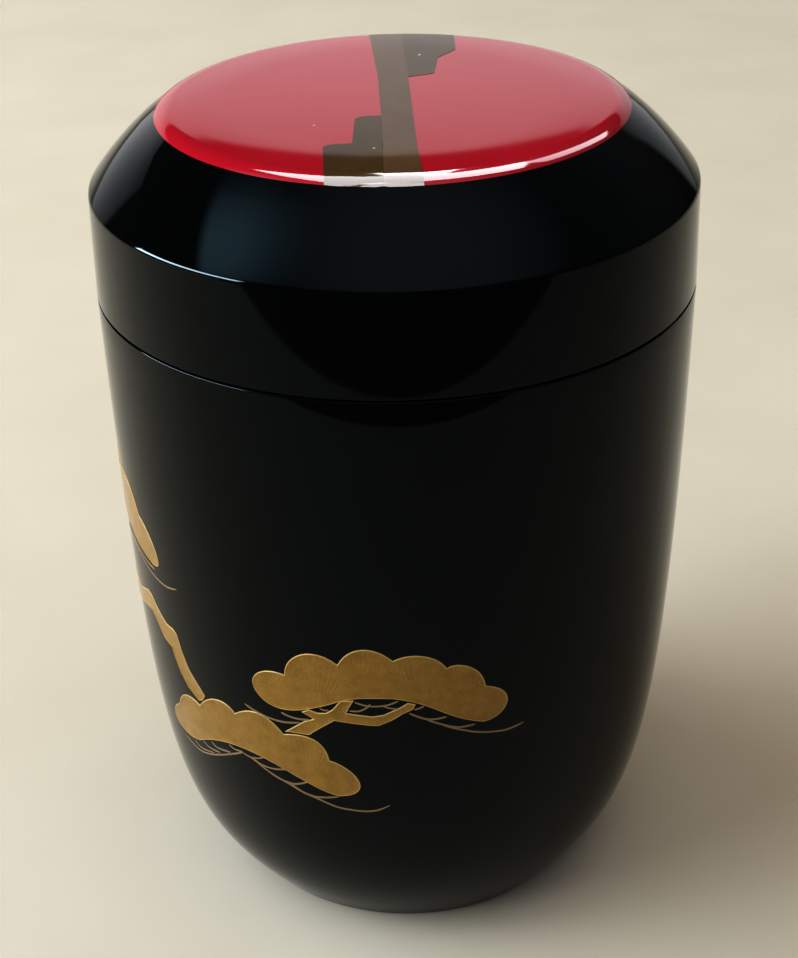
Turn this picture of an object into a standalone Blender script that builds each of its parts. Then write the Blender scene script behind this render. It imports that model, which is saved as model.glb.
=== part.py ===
"""A tall turned tea caddy in black lacquer: a hollow container, and a chamfered lid that lifts off.

The two pieces share one upright axis, Z, and stand on the floor at the origin. Lengths are in metres.
Each piece is drawn as one half section, a line of (radius, height) points that starts and ends on the
axis, and is spun round it. The lid slides over a collar that stands up inside the container's mouth,
so that the two outsides run on flush past a fine seam.
"""

import math

import bmesh
import bpy
from mathutils import Vector
from mathutils.geometry import interpolate_bezier

# The outside of the container, whose width at the seam sets the lid's too
SEAM_RADIUS = 0.03325
SEAM_HEIGHT = 0.0762
BASE_INSET = 0.01065
BASE_ROUND = 0.0012
FOOT_RING_WIDTH = 0.0032
FOOT_RECESS = 0.0004

# The curve of its side: how far the straight upper part leans in and reaches down, as a share of the
# height, and how steeply and how far the lower part rises from the base
SIDE_LEAN = 0.0006
SIDE_REACH = 0.857
BELLY_RISE = 0.0098
BELLY_SPREAD = 0.0070

# The outside of the lid, from the seam up: a side that draws in a little, a broad chamfer, a flat top
LID_SIDE_HEIGHT = 0.0112
LID_SIDE_DRAW = 0.00025
SHOULDER_ROUND = 0.0009
CHAMFER_HEIGHT = 0.0083
CHAMFER_WIDTH = 0.0085
CHAMFER_SWELL = 0.0005
TOP_ROUND = 0.0032

# Walls, and the fit of the lid on the collar
CONTAINER_WALL = 0.0030
CONTAINER_FLOOR = 0.0042
INSIDE_ROUND = 0.0060
LID_WALL = 0.0020
LID_TOP_WALL = 0.0026
LID_INSIDE_ROUND = 0.0020
COLLAR_WALL = 0.0016
COLLAR_HEIGHT = 0.0084
COLLAR_CLEARANCE = 0.0003
SEAM_GAP = 0.0003
EDGE_ROUND = 0.00035

# How finely the curves are stepped
AROUND = 60
BELLY_STEPS = 12
CHAMFER_STEPS = 5
ROUND_STEPS = 3
TRACE_STEPS = 240

MERGE_DISTANCE = 1e-6
SHARP_ANGLE = math.radians(35)

BLACK_LACQUER = (0.006, 0.007, 0.008, 1.0)
RED_LACQUER = (0.42, 0.012, 0.028, 1.0)
LACQUER_ROUGHNESS = 0.09

LEDGE_HEIGHT = SEAM_HEIGHT - SEAM_GAP / 2
RIM_HEIGHT = SEAM_HEIGHT + SEAM_GAP / 2
BASE_RADIUS = SEAM_RADIUS - BASE_INSET
SHOULDER_RADIUS = SEAM_RADIUS - LID_SIDE_DRAW
SHOULDER_HEIGHT = SEAM_HEIGHT + LID_SIDE_HEIGHT
TOP_RADIUS = SHOULDER_RADIUS - CHAMFER_WIDTH
TOP_HEIGHT = SHOULDER_HEIGHT + CHAMFER_HEIGHT
CEILING_HEIGHT = TOP_HEIGHT - LID_TOP_WALL
LID_BORE = SEAM_RADIUS - LID_WALL
COLLAR_RADIUS = LID_BORE - COLLAR_CLEARANCE
MOUTH_RADIUS = COLLAR_RADIUS - COLLAR_WALL
COLLAR_TOP = LEDGE_HEIGHT + COLLAR_HEIGHT


def clear_scene():
    """Take every object out of the scene."""
    for old in list(bpy.data.objects):
        bpy.data.objects.remove(old)


def lacquer(name, colour):
    """A polished lacquer of one colour."""
    material = bpy.data.materials.new(name)
    material.use_nodes = True
    shader = material.node_tree.nodes["Principled BSDF"]
    shader.inputs["Base Color"].default_value = colour
    shader.inputs["Roughness"].default_value = LACQUER_ROUGHNESS
    shader.inputs["Metallic"].default_value = 0.0
    return material


def side_curve(steps):
    """The container's outer side, from the ledge under the lid down to the base."""
    top = Vector((SEAM_RADIUS, LEDGE_HEIGHT))
    upper = top - Vector((SIDE_LEAN, SIDE_REACH * LEDGE_HEIGHT))
    base = Vector((BASE_RADIUS, 0.0))
    lower = base + Vector((BELLY_SPREAD, BELLY_RISE))
    return interpolate_bezier(top, upper, lower, base, steps + 1)


def set_in(line, depth):
    """The same line moved to its inner side, square to itself, by one depth all along."""
    moved = []
    for place, point in enumerate(line):
        ahead = line[min(place + 1, len(line) - 1)]
        behind = line[max(place - 1, 0)]
        along = (ahead - behind).normalized()
        moved.append(point + Vector((along.y, -along.x)) * depth)
    return moved


def crossing(line, height):
    """Where a falling line passes a height: the point, and the index of the step that it is on."""
    for step, (above, below) in enumerate(zip(line, line[1:])):
        if below.y <= height:
            share = (above.y - height) / (above.y - below.y)
            return above.lerp(below, share), step
    return line[-1], len(line) - 1


def arc(centre, start, end, steps):
    """Points on a round about a centre, from start to end, the shorter way."""
    first = start - centre
    last = end - centre
    radius = first.length
    return [
        centre + first.normalized().slerp(last.normalized(), step / steps) * radius
        for step in range(steps + 1)
    ]


def rounded(corners):
    """The line through (point, round) pairs, with an arc in place of each corner that has a round."""
    line = [corners[0][0]]
    for (before, _), (corner, radius), (after, _) in zip(corners, corners[1:], corners[2:]):
        back = before - corner
        on = after - corner
        half = back.angle(on) / 2
        if radius == 0:
            line.append(corner)
            continue
        reach = min(radius / math.tan(half), 0.45 * min(back.length, on.length))
        middle = (back.normalized() + on.normalized()).normalized()
        centre = corner + middle * (reach / math.cos(half))
        line += arc(centre, corner + back.normalized() * reach, corner + on.normalized() * reach, ROUND_STEPS)
    line.append(corners[-1][0])
    return line


def plain(points):
    """Points that keep their corners sharp."""
    return [(point, 0) for point in points]


def container_inside():
    """The hollow's line, from under the mouth down the wall and round to the middle of the floor.

    The ball that rounds the corner rolls down inside the wall until it rests on the floor.
    """
    traced = side_curve(TRACE_STEPS)
    ball, step = crossing(set_in(traced, CONTAINER_WALL + INSIDE_ROUND), CONTAINER_FLOOR + INSIDE_ROUND)
    wall = set_in(traced, CONTAINER_WALL)
    touch = wall[step]
    stride = TRACE_STEPS // BELLY_STEPS
    side = [Vector((min(point.x, MOUTH_RADIUS), point.y)) for point in wall[stride:step - stride // 2:stride]]
    corner = arc(ball, touch, ball - Vector((0, INSIDE_ROUND)), ROUND_STEPS + 1)
    return [*side, *corner, Vector((0, CONTAINER_FLOOR))]


def container_outline():
    """The container's half section, from the middle of its underside, up its outside and down its inside."""
    recess_radius = BASE_RADIUS - FOOT_RING_WIDTH
    foot = [
        (Vector((0, FOOT_RECESS)), 0),
        (Vector((recess_radius - FOOT_RECESS, FOOT_RECESS)), 0),
        (Vector((recess_radius, 0)), 0),
        (Vector((BASE_RADIUS, 0)), BASE_ROUND),
    ]
    side = side_curve(BELLY_STEPS)[1:-1]
    mouth = [
        (Vector((SEAM_RADIUS, LEDGE_HEIGHT)), EDGE_ROUND),
        (Vector((COLLAR_RADIUS, LEDGE_HEIGHT)), 0),
        (Vector((COLLAR_RADIUS, COLLAR_TOP)), EDGE_ROUND),
        (Vector((MOUTH_RADIUS, COLLAR_TOP)), EDGE_ROUND),
        (Vector((MOUTH_RADIUS, LEDGE_HEIGHT)), 0),
    ]
    return rounded([*foot, *plain(reversed(side)), *mouth, *plain(container_inside())])


def chamfer(start, end):
    """The lid's slope between two corners, without them, swelling a little outward in the middle."""
    across = (end - start).normalized()
    outward = Vector((-across.y, across.x))
    swollen = []
    for step in range(1, CHAMFER_STEPS):
        share = step / CHAMFER_STEPS
        swollen.append(start.lerp(end, share) + outward * CHAMFER_SWELL * 4 * share * (1 - share))
    return swollen


def lid_outline():
    """The lid's half section, from the middle of its top, down its outside and up its inside."""
    top_corner = Vector((TOP_RADIUS, TOP_HEIGHT))
    shoulder = Vector((SHOULDER_RADIUS, SHOULDER_HEIGHT))
    slope = (shoulder - top_corner).normalized()
    inner = top_corner + Vector((slope.y, -slope.x)) * LID_TOP_WALL
    ceiling_corner = inner + slope * ((CEILING_HEIGHT - inner.y) / slope.y)
    inner_shoulder = inner + slope * ((LID_BORE - inner.x) / slope.x)
    return rounded([
        (Vector((0, TOP_HEIGHT)), 0),
        (top_corner, TOP_ROUND),
        *plain(chamfer(top_corner, shoulder)),
        (shoulder, SHOULDER_ROUND),
        (Vector((SEAM_RADIUS, RIM_HEIGHT)), EDGE_ROUND),
        (Vector((LID_BORE, RIM_HEIGHT)), EDGE_ROUND),
        (inner_shoulder, 0),
        (ceiling_corner, LID_INSIDE_ROUND),
        (Vector((0, CEILING_HEIGHT)), 0),
    ])


def turned(name, outline, *materials):
    """Spin a half section round the axis into one closed, smooth piece."""
    shape = bmesh.new()
    line = [shape.verts.new((point.x, 0, point.y)) for point in outline]
    for first, second in zip(line, line[1:]):
        shape.edges.new((first, second))
    bmesh.ops.spin(
        shape,
        geom=[*shape.verts, *shape.edges],
        cent=(0, 0, 0),
        axis=(0, 0, 1),
        angle=math.tau,
        steps=AROUND,
        use_merge=True,
    )
    bmesh.ops.remove_doubles(shape, verts=shape.verts, dist=MERGE_DISTANCE)
    bmesh.ops.recalc_face_normals(shape, faces=shape.faces)
    mesh = bpy.data.meshes.new(name)
    shape.to_mesh(mesh)
    shape.free()
    for material in materials:
        mesh.materials.append(material)
    mesh.shade_smooth()
    mesh.set_sharp_from_angle(angle=SHARP_ANGLE)
    piece = bpy.data.objects.new(name, mesh)
    bpy.context.scene.collection.objects.link(piece)
    return piece


def redden_top(lid):
    """Give the lid's upper face, as far as the end of its rounded edge, the second material."""
    for face in lid.data.polygons:
        out = math.hypot(face.center.x, face.center.y)
        if face.normal.z > math.cos(math.radians(45)) and face.center.z > CEILING_HEIGHT and out < TOP_RADIUS:
            face.material_index = 1


def main():
    """Build the container and the lid that rests on it."""
    clear_scene()
    black = lacquer("black_lacquer", BLACK_LACQUER)
    red = lacquer("red_lacquer", RED_LACQUER)
    turned("container", container_outline(), black)
    lid = turned("lid", lid_outline(), black, red)
    redden_top(lid)


main()
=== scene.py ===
"""The looks of a tall turned tea caddy: polished black lacquer, a red top, a gold band and a gold pine.

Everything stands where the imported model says, in metres: Z is the turning axis, the caddy stands on the
floor at the origin, and -Y faces the viewer. The two turned pieces are drawn again from the model's own
sizes with far finer steps, so that the polish mirrors cleanly. The red, the band and the pine are thin
coats laid on them. A bearing on the side is measured from the front and grows towards +X.
"""

import logging
import math
from dataclasses import dataclass
from enum import Enum

import bmesh
import bpy
from mathutils import Matrix, Vector
from mathutils.geometry import interpolate_bezier


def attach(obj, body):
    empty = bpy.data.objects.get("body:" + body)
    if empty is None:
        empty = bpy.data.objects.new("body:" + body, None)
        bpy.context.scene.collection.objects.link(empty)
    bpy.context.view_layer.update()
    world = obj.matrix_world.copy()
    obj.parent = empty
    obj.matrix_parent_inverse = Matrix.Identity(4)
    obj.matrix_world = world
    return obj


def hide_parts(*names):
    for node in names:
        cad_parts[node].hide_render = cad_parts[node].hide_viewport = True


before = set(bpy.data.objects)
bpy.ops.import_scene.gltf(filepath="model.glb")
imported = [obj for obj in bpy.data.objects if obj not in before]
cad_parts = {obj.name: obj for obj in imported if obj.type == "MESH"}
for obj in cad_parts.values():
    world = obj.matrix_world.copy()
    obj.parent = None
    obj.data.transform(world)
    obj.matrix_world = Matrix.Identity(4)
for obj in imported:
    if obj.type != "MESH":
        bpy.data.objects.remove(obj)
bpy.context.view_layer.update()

logging.basicConfig(level=logging.INFO, format="%(message)s")
log = logging.getLogger("tea_caddy")

MM = 0.001
MERGE_DISTANCE = 1e-7
CUT_DISTANCE = 1e-8
SHARP_ANGLE = math.radians(35)
FLAT_RADIUS = 0.032
MOST_ROUND = 0.45

Pair = tuple[float, float]
Triple = tuple[float, float, float]
Colour = Triple


class Slot(Enum):
    """The record's finishes."""

    BLACK = "black_lacquer"
    RED = "red_lacquer"
    GOLD = "gold_lacquer"


class Nodes:
    """A node tree, with short calls to add nodes and join them."""

    def __init__(self, tree: bpy.types.NodeTree) -> None:
        """Work on that tree."""
        self.tree = tree

    def node(
        self, kind: str, values: dict[str | int, object] | None = None, **settings: object
    ) -> bpy.types.Node:
        """Add a node.

        Args:
            kind: the node's Blender type name.
            values: what each named or numbered input holds, or the socket that feeds it.
            settings: the node's own properties.

        Returns:
            The new node.
        """
        made = self.tree.nodes.new(kind)
        for key, value in settings.items():
            setattr(made, key, value)
        for key, value in (values or {}).items():
            self.feed(made.inputs[key], value)
        return made

    def feed(self, socket: bpy.types.NodeSocket, value: object) -> None:
        """Give a socket a plain value, or join another node's output to it.

        Args:
            socket: the input to set.
            value: a plain value, or the output that feeds it.
        """
        if isinstance(value, bpy.types.NodeSocket):
            self.tree.links.new(value, socket)
        else:
            socket.default_value = value

    def maths(self, operation: str, *values: object) -> bpy.types.NodeSocket:
        """The result of one sum on numbers or sockets."""
        return self.node("ShaderNodeMath", dict(enumerate(values)), operation=operation).outputs[0]

    def between(self, source: object, low: Pair, high: Pair) -> bpy.types.NodeSocket:
        """Map a number from one range to another, and hold it inside that one.

        Args:
            source: the number's socket.
            low: a number and what it becomes.
            high: a higher number and what it becomes.

        Returns:
            The socket with the mapped number.
        """
        values = {
            "Value": source,
            "From Min": low[0],
            "To Min": low[1],
            "From Max": high[0],
            "To Max": high[1],
        }
        return self.node("ShaderNodeMapRange", values, clamp=True).outputs["Result"]

    def ramp(self, source: object, low: float, high: float) -> bpy.types.NodeSocket:
        """Rise from 0 to 1 between a low number and a high one."""
        return self.between(source, (low, 0.0), (high, 1.0))

    def blend(self, share: object, first: object, second: object) -> bpy.types.NodeSocket:
        """Mix two colours, the second by the share.

        Args:
            share: how much of the second, from 0 to 1.
            first: a colour.
            second: another colour.

        Returns:
            The socket with the mixed colour.
        """
        mixer = self.node("ShaderNodeMix", data_type="RGBA", clamp_factor=True)
        for key, value in {0: share, 6: first, 7: second}.items():
            self.feed(mixer.inputs[key], value)
        return mixer.outputs[2]

    def along(self, way: object, direction: Triple) -> bpy.types.NodeSocket:
        """How far one way points along a direction."""
        values = {0: way, 1: direction}
        return self.node("ShaderNodeVectorMath", values, operation="DOT_PRODUCT").outputs["Value"]


class Shading(Nodes):
    """The node tree of one material."""

    def __init__(self, name: str) -> None:
        """Start a material with a bare shader and its output.

        Args:
            name: the material's name.
        """
        self.material = bpy.data.materials.new(name)
        self.material.use_nodes = True
        super().__init__(self.material.node_tree)
        self.shader = self.tree.nodes["Principled BSDF"]

    def surface(self, **values: object) -> None:
        """Set the shader's sockets, named with underscores for spaces."""
        for key, value in values.items():
            self.feed(self.shader.inputs[key.replace("_", " ")], value)

    def place(self) -> bpy.types.NodeSocket:
        """The place on the piece, in metres."""
        return self.node("ShaderNodeTexCoord").outputs["Object"]

    def noise(self, scale: float, detail: float = 2.0) -> bpy.types.NodeSocket:
        """A cloudy pattern, with so many waves to the metre."""
        values = {"Vector": self.place(), "Scale": scale, "Detail": detail}
        return self.node("ShaderNodeTexNoise", values).outputs["Fac"]

    def cells(self, scale: float) -> bpy.types.NodeSocket:
        """How far a place is from the middle of its cell, with so many cells to the metre."""
        return self.node("ShaderNodeTexVoronoi", {"Vector": self.place(), "Scale": scale}).outputs["Distance"]

    def bump(self, height: object, distance: float, under: object | None = None) -> bpy.types.NodeSocket:
        """Raise the surface by a height of up to that many metres, over another bump if there is one.

        Args:
            height: the height's socket, from 0 to 1.
            distance: how high 1 is, in metres.
            under: the normal of a bump below this one.

        Returns:
            The socket with the normal.
        """
        values = {"Height": height, "Distance": distance, "Strength": 1.0}
        if under is not None:
            values["Normal"] = under
        return self.node("ShaderNodeBump", values).outputs["Normal"]


def solid(colour: Colour) -> tuple[float, float, float, float]:
    """A colour with full cover."""
    return (*colour, 1.0)


@dataclass(frozen=True)
class Lacquer:
    """Polished lacquer: a deep colour under a hard gloss that is faintly uneven, with a little dust in it."""

    name: str
    colour: Colour
    cloud: Colour
    gloss: float
    mirror: float
    dust: Colour
    tint: Colour = (1.0, 1.0, 1.0)
    wave: float = 0.000016
    waves: float = 55.0
    nib: float = 0.000014
    dust_cells: float = 190.0
    dust_size: float = 0.035
    dust_drifts: float = 70.0
    dust_dulling: float = 0.3
    clouds: float = 38.0
    rubs: float = 120.0
    rub_dulling: float = 1.6

    def material(self) -> bpy.types.Material:
        """Make the material.

        Returns:
            The finished material.
        """
        shading = Shading(self.name)
        cloud = shading.ramp(shading.noise(self.clouds, 3.0), 0.35, 0.7)
        core = self.dust_size * 0.5
        specks = shading.between(shading.cells(self.dust_cells), (core, 1.0), (self.dust_size, 0.0))
        rare = shading.ramp(shading.noise(self.dust_drifts, 1.0), 0.6, 0.64)
        speck = shading.maths("MULTIPLY", specks, rare)
        deep = shading.blend(cloud, solid(self.colour), solid(self.cloud))
        dulled = self.gloss * self.rub_dulling
        rubbed = shading.between(shading.noise(self.rubs, 4.0), (0.35, self.gloss), (0.7, dulled))
        wavy = shading.bump(shading.noise(self.waves, 1.0), self.wave)
        shading.surface(
            Base_Color=shading.blend(speck, deep, solid(self.dust)),
            Roughness=shading.maths("ADD", rubbed, shading.maths("MULTIPLY", speck, self.dust_dulling)),
            Specular_IOR_Level=self.mirror,
            # On the black, the tint turns every reflection bluish: painted cool light in them.
            Specular_Tint=solid(self.tint),
            IOR=1.5,
            Normal=shading.bump(speck, self.nib, wavy),
        )
        return shading.material


@dataclass(frozen=True)
class GoldPowder:
    """Gold powder laid in lacquer: satin metal with a fine grain and fine engraving, painted brighter on its
    raised rim as a highlight that the ridge catches.
    """

    name: str
    colour: Colour
    worn: Colour
    # rim: the raised edge's colour, a painted highlight; the lighter grain also leans towards it
    rim: Colour
    satin: float = 0.42
    metal: float = 0.15
    grains: float = 5200.0
    fan: float = 84.0
    engraved: bool = True
    grain_height: float = 0.000012
    clouds: float = 620.0
    score_patches: float = 420.0
    score_share: float = 0.6
    score_depth: float = 0.00001

    def material(self) -> bpy.types.Material:
        """Make the material.

        Returns:
            The finished material.
        """
        shading = Shading(self.name)
        grain = shading.noise(self.grains, 2.0)
        cloud = shading.between(shading.noise(self.clouds, 4.0), (0.3, 0.0), (0.75, 0.8))
        tone = shading.blend(cloud, solid(self.colour), solid(self.worn))
        dusted = shading.blend(shading.between(grain, (0.55, 0.0), (0.75, 0.4)), tone, solid(self.rim))
        # The marked rim gets the brighter gold: a painted highlight, the light that its ridge catches.
        edge = shading.node("ShaderNodeAttribute", attribute_name="rim").outputs["Fac"]
        colour = shading.blend(edge, dusted, solid(self.rim))
        normal = shading.bump(grain, self.grain_height)
        if self.engraved:
            fan_map = shading.node("ShaderNodeUVMap", uv_map="fan").outputs[0]
            split = shading.node("ShaderNodeSeparateXYZ", {0: fan_map})
            turn = shading.maths("ARCTAN2", split.outputs["X"], split.outputs["Y"])
            ray = shading.maths("SINE", shading.maths("MULTIPLY", turn, self.fan))
            line = shading.ramp(ray, 0.72, 0.98)
            patches = shading.between(shading.noise(self.score_patches), (0.4, 0.15), (0.6, 1.0))
            patchy = shading.maths("MULTIPLY", line, patches)
            scored = shading.maths("MULTIPLY", patchy, shading.maths("SUBTRACT", 1.0, edge))
            share = shading.maths("MULTIPLY", scored, self.score_share)
            colour = shading.blend(share, colour, solid(self.worn))
            normal = shading.bump(shading.maths("SUBTRACT", 1.0, scored), self.score_depth, normal)
        shading.surface(
            Base_Color=colour,
            Metallic=self.metal,
            Roughness=shading.between(grain, (0.3, self.satin - 0.05), (0.7, self.satin + 0.08)),
            Specular_IOR_Level=0.1,
            Coat_Weight=0.9,
            Coat_Roughness=0.14,
            Coat_IOR=1.27,
            Normal=normal,
        )
        return shading.material


@dataclass(frozen=True)
class BandFinish:
    """Brownish gold dust under clear lacquer, with a few bright flecks."""

    name: str
    colour: Colour
    deep: Colour
    fleck: Colour
    metal: float = 0.0
    grains: float = 3800.0
    grain_share: float = 0.45
    grain_height: float = 0.000008
    clouds: float = 210.0
    fleck_cells: float = 520.0
    fleck_drifts: float = 240.0

    def material(self) -> bpy.types.Material:
        """Make the material.

        Returns:
            The finished material.
        """
        shading = Shading(self.name)
        grain = shading.ramp(shading.noise(self.grains, 3.0), 0.35, 0.65)
        cloud = shading.between(shading.noise(self.clouds, 3.0), (0.35, 0.0), (0.7, 0.6))
        share = shading.maths("MULTIPLY", grain, self.grain_share)
        tone = shading.blend(share, solid(self.colour), solid(self.deep))
        tone = shading.blend(cloud, tone, solid(self.deep))
        flecks = shading.between(shading.cells(self.fleck_cells), (0.07, 1.0), (0.11, 0.0))
        rare = shading.ramp(shading.noise(self.fleck_drifts, 1.0), 0.55, 0.6)
        bright = shading.maths("MULTIPLY", flecks, rare)
        shading.surface(
            Base_Color=shading.blend(bright, tone, solid(self.fleck)),
            Metallic=self.metal,
            Roughness=shading.between(grain, (0.0, 0.34), (1.0, 0.5)),
            Specular_IOR_Level=0.0,
            Coat_Weight=0.75,
            Coat_Roughness=0.06,
            Coat_IOR=1.5,
            Normal=shading.bump(grain, self.grain_height),
        )
        return shading.material


BLACK = Lacquer(
    "black lacquer",
    (0.0014, 0.0017, 0.0019),
    (0.002, 0.0024, 0.0026),
    0.045,
    0.2,
    (0.05, 0.05, 0.045),
    # A bluish tint on the reflections: painted cool light.
    (0.75, 0.93, 1.0),
)
RED = Lacquer(
    "red lacquer", (0.3, 0.007, 0.018), (0.33, 0.01, 0.023), 0.045, 0.48, (0.6, 0.45, 0.42), dust_cells=230.0
)
PINE_GOLD = GoldPowder("pine gold", (0.262, 0.154, 0.034), (0.18, 0.1, 0.019), (0.41, 0.285, 0.11))
LINE_GOLD = GoldPowder(
    "needle gold", (0.22, 0.155, 0.09), (0.16, 0.11, 0.06), (0.3, 0.22, 0.13), engraved=False
)
STRIP_FINISH = BandFinish("band strip", (0.105, 0.062, 0.032), (0.072, 0.041, 0.02), (0.62, 0.54, 0.38))
STEP_FINISH = BandFinish("band steps", (0.07, 0.043, 0.017), (0.042, 0.025, 0.009), (0.7, 0.56, 0.3))


def set_in(line: list[Vector], depth: float) -> list[Vector]:
    """The same line moved to its inner side, square to itself, by one depth all along.

    Args:
        line: the line's points.
        depth: how far to move it.

    Returns:
        The moved points.
    """
    moved = []
    for place, point in enumerate(line):
        ahead = line[min(place + 1, len(line) - 1)]
        behind = line[max(place - 1, 0)]
        along = (ahead - behind).normalized()
        moved.append(point + Vector((along.y, -along.x)) * depth)
    return moved


def crossing(line: list[Vector], height: float) -> tuple[Vector, int]:
    """Where a falling line passes a height: the point, and the index of the step that it is on.

    Args:
        line: the line's points, from the top down.
        height: the height to pass.

    Returns:
        The point, and the index of its step.
    """
    for step, (above, below) in enumerate(zip(line, line[1:])):
        if below.y <= height:
            share = (above.y - height) / (above.y - below.y)
            return above.lerp(below, share), step
    return line[-1], len(line) - 1


def arc(centre: Vector, start: Vector, end: Vector, steps: int) -> list[Vector]:
    """Points on a round about a centre, from start to end, the shorter way.

    Args:
        centre: the middle of the round.
        start: its first point.
        end: its last point.
        steps: how many steps it has.

    Returns:
        The points, both ends among them.
    """
    first = start - centre
    last = end - centre
    radius = first.length
    return [
        centre + first.normalized().slerp(last.normalized(), step / steps) * radius
        for step in range(steps + 1)
    ]


def rounded(corners: list[tuple[Vector, float]], steps: int) -> list[Vector]:
    """The line through corners, with an arc in place of each one that has a round.

    Args:
        corners: each corner and the radius of its round, or 0 for a sharp one.
        steps: how many steps each arc has.

    Returns:
        The line's points.
    """
    line = [corners[0][0]]
    for (before, _), (corner, radius), (after, _) in zip(corners, corners[1:], corners[2:]):
        if radius == 0:
            line.append(corner)
            continue
        back = before - corner
        on = after - corner
        half = back.angle(on) / 2
        reach = min(radius / math.tan(half), MOST_ROUND * min(back.length, on.length))
        middle = (back.normalized() + on.normalized()).normalized()
        centre = corner + middle * (reach / math.cos(half))
        line += arc(centre, corner + back.normalized() * reach, corner + on.normalized() * reach, steps)
    line.append(corners[-1][0])
    return line


def plain(points: list[Vector]) -> list[tuple[Vector, float]]:
    """Points that keep their corners sharp."""
    return [(point, 0.0) for point in points]


def finish_piece(
    name: str, shape: bmesh.types.BMesh, material: bpy.types.Material, slot: Slot
) -> bpy.types.Object:
    """Turn a closed shape into a smooth piece that rides on the caddy.

    Args:
        name: the piece's name.
        shape: its mesh, which is used up.
        material: its finish.
        slot: the record's finish that it stands for; not used.

    Returns:
        The new piece.
    """
    bmesh.ops.remove_doubles(shape, verts=shape.verts, dist=MERGE_DISTANCE)
    bmesh.ops.recalc_face_normals(shape, faces=shape.faces)
    open_edges = sum(not edge.is_manifold for edge in shape.edges)
    mesh = bpy.data.meshes.new(name)
    shape.to_mesh(mesh)
    shape.free()
    mesh.materials.append(material)
    mesh.shade_smooth()
    mesh.set_sharp_from_angle(angle=SHARP_ANGLE)
    piece = bpy.data.objects.new(name, mesh)
    bpy.context.scene.collection.objects.link(piece)
    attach(piece, "root")
    log.info("%s: %d faces, %d open edges", name, len(mesh.polygons), open_edges)
    return piece


@dataclass(frozen=True)
class Turning:
    """How finely the half sections are stepped and spun."""

    around: int = 240
    side_steps: int = 72
    slope_steps: int = 16
    round_steps: int = 8
    trace_steps: int = 432

    def spin(self, outline: list[Vector]) -> bmesh.types.BMesh:
        """Spin a half section, which starts and ends on the axis, into a closed shape.

        Args:
            outline: the half section's points, as radius and height.

        Returns:
            The turned shape.
        """
        shape = bmesh.new()
        line = [shape.verts.new((point.x, 0, point.y)) for point in outline]
        for first, second in zip(line, line[1:]):
            shape.edges.new((first, second))
        bmesh.ops.spin(
            shape,
            geom=[*shape.verts, *shape.edges],
            cent=(0, 0, 0),
            axis=(0, 0, 1),
            angle=math.tau,
            steps=self.around,
            use_merge=True,
        )
        return shape


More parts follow.
